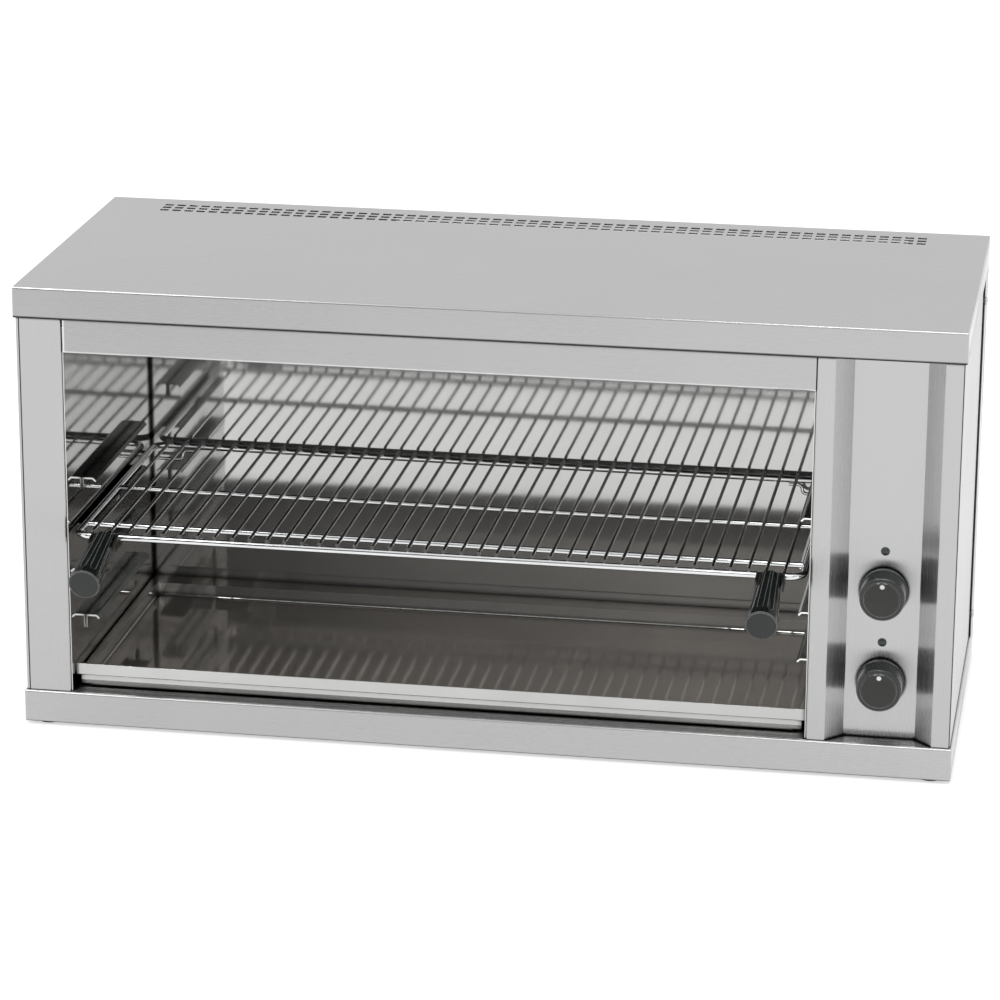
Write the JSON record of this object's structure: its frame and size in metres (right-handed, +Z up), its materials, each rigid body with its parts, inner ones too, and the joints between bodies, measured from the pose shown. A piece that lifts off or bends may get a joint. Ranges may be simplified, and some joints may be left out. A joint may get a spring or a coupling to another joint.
{
  "type": "cheese melter",
  "caption": "Open-fronted electric cheese melter of folded steel with a sliding wire shelf, crumb tray, tubular elements above and knobs in a side column.",
  "frame": {"origin": "on the floor, under the middle of the whole width and of the whole depth from the ends of the grips to the cable gland", "axes": "+X to the right seen from the front, +Y to the back, +Z up"},
  "size_m": [0.8036, 0.4142, 0.392],
  "materials": {
    "casing_steel": "satin brushed",
    "chamber_steel": "polished sheet",
    "tray_steel": "polished sheet",
    "runner_steel": "bright",
    "wire_chrome": "bright plated",
    "screw_steel": "bright",
    "element_sheath": "oxidised",
    "white_ceramic": "matte",
    "mineral_wool": "matte",
    "bakelite": "gloss",
    "knob_grey": "gloss",
    "black_plastic": "matte",
    "lamp_lens": "gloss",
    "index_white": "matte",
    "shaft_brass": "satin",
    "foot_rubber": "matte"
  },
  "bodies": {
    "casing": {"base_pan": "casing_steel", "top_cover": "casing_steel", "rear_cover": "casing_steel", "left_side_panel": "casing_steel", "right_side_panel": "casing_steel", "top_fascia": "casing_steel", "control_panel": "casing_steel", "foot_front_left": "foot_rubber", "foot_front_right": "foot_rubber", "foot_rear_left": "foot_rubber", "foot_rear_right": "foot_rubber", "chamber_left_wall": "chamber_steel", "chamber_right_wall": "chamber_steel", "chamber_back_wall": "chamber_steel", "chamber_ceiling": "chamber_steel", "insulation_mat": "mineral_wool", "runner_left_1": "runner_steel", "runner_left_2": "runner_steel", "runner_left_3": "runner_steel", "runner_left_4": "runner_steel", "runner_right_1": "runner_steel", "runner_right_2": "runner_steel", "runner_right_3": "runner_steel", "runner_right_4": "runner_steel", "front_element": "element_sheath", "rear_element": "element_sheath", "element_bushes": "white_ceramic", "element_hanger_left": "runner_steel", "element_hanger_middle": "runner_steel", "element_hanger_right": "runner_steel", "upper_regulator": "black_plastic", "lower_regulator": "black_plastic", "regulator_screws": "screw_steel", "upper_lamp_lens": "lamp_lens", "lower_lamp_lens": "lamp_lens", "upper_lamp_body": "black_plastic", "lower_lamp_body": "black_plastic", "terminal_block": "white_ceramic", "cable_gland": "black_plastic", "gland_nut": "black_plastic", "casing_screws": "screw_steel"},
    "shelf": {"shelf_frame": "wire_chrome", "shelf_cross_wires": "wire_chrome", "shelf_deck_wires": "wire_chrome", "shelf_tilt_hooks": "wire_chrome", "left_grip": "bakelite", "right_grip": "bakelite", "left_grip_bracket": "wire_chrome", "right_grip_bracket": "wire_chrome", "left_grip_stud": "screw_steel", "right_grip_stud": "screw_steel"},
    "crumb_tray": {"crumb_tray": "tray_steel"},
    "upper_knob": {"upper_knob": "bakelite", "upper_knob_cap": "knob_grey", "upper_knob_dot": "index_white", "upper_shaft": "shaft_brass"},
    "lower_knob": {"lower_knob": "bakelite", "lower_knob_cap": "knob_grey", "lower_knob_dot": "index_white", "lower_shaft": "shaft_brass"}
  },
  "joints": [
    {"name": "shelf_slide", "type": "slide", "parent": "casing", "child": "shelf", "axis": [0, -1, 0], "range_m": [0, 0.3]},
    {"name": "crumb_tray_slide", "type": "slide", "parent": "casing", "child": "crumb_tray", "axis": [0, -1, 0], "range_m": [0, 0.3]},
    {"name": "upper_knob_turn", "type": "hinge", "parent": "casing", "child": "upper_knob", "pos_m": [0.3378, -0.1204, 0.163], "axis": [0, 1, 0], "range_deg": [0, 270]},
    {"name": "lower_knob_turn", "type": "hinge", "parent": "casing", "child": "lower_knob", "pos_m": [0.3378, -0.1204, 0.083], "axis": [0, 1, 0], "range_deg": [0, 270]}
  ]
}
